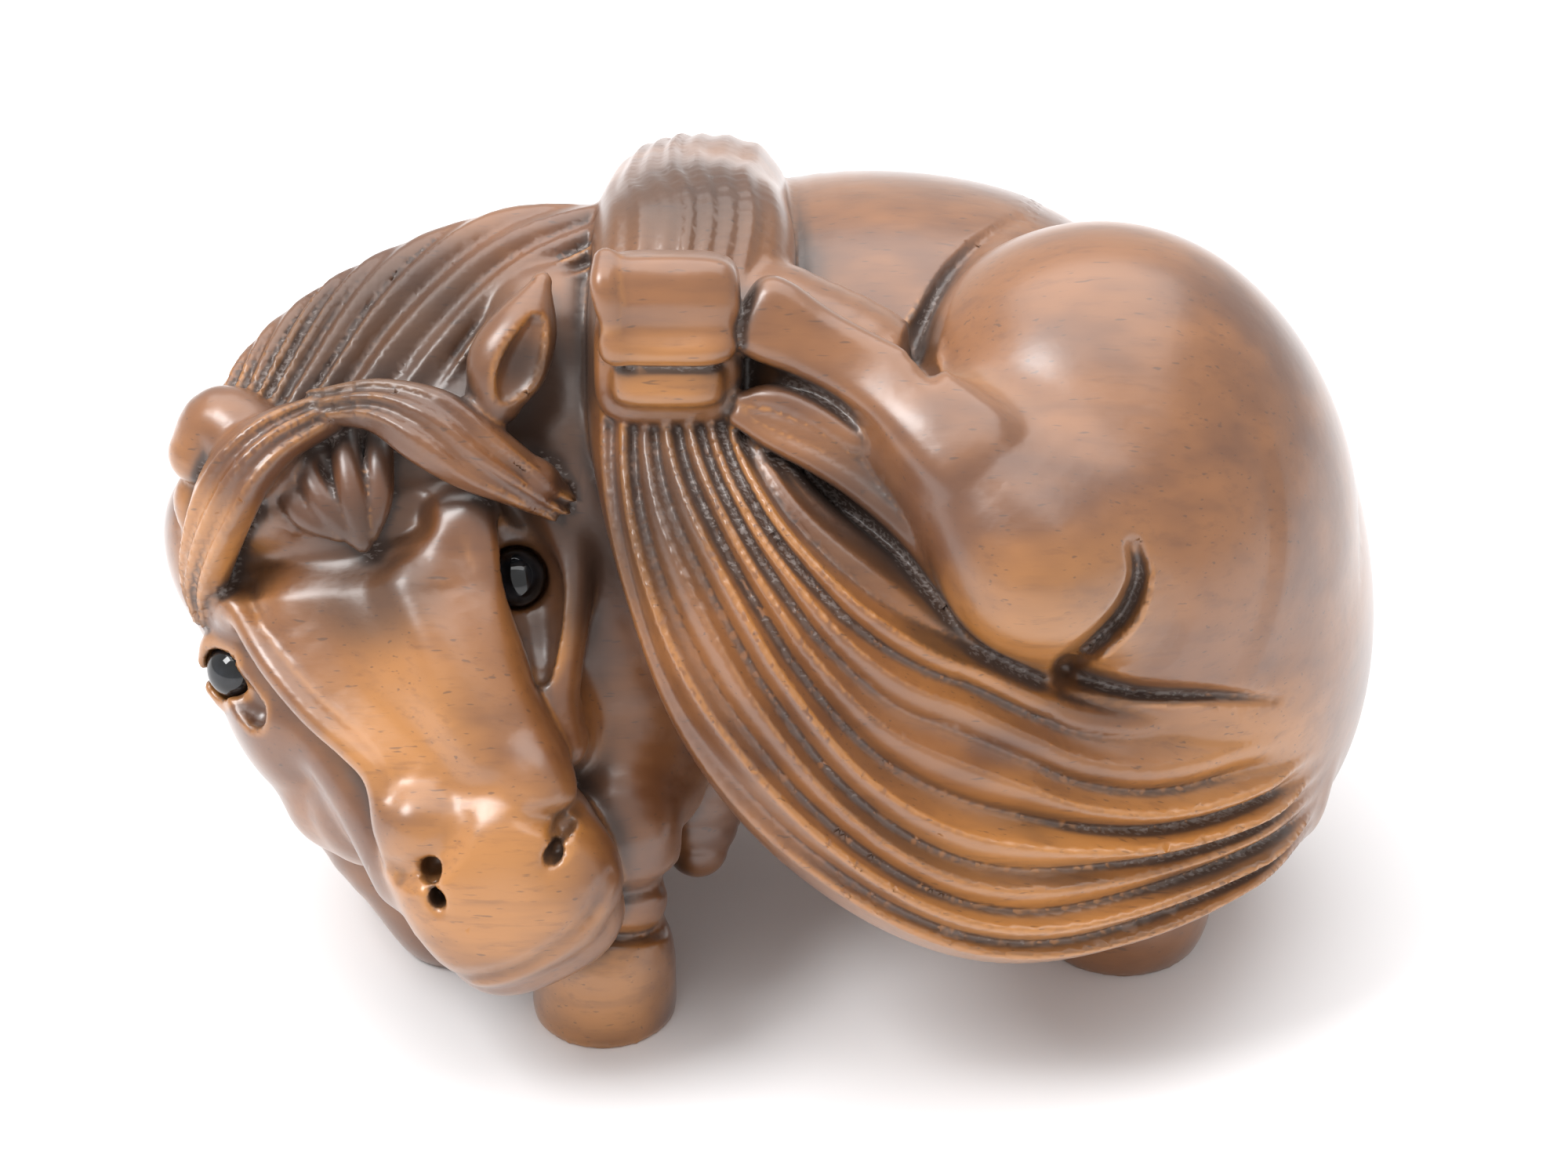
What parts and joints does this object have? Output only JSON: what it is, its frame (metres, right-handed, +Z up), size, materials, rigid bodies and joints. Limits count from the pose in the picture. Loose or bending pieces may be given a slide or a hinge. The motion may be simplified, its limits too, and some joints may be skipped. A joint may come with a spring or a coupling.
{
  "type": "netsuke",
  "caption": "Carved netsuke toggle: a curled-up horse that scratches behind its ear with a raised hind hoof, tail swept forward, round inlaid eyes.",
  "frame": {"origin": "on the ground under the middle of the overall box", "axes": "+Z up, -Y towards the viewer, +X from the horse's head to its rump"},
  "size_m": [0.0468, 0.0338, 0.032],
  "materials": {
    "boxwood": "stained and waxed boxwood, dark in the grooves",
    "bead": "polished black horn"
  },
  "bodies": {
    "root": {"horse": "boxwood", "eye_left": "bead", "eye_right": "bead"}
  },
  "joints": []
}
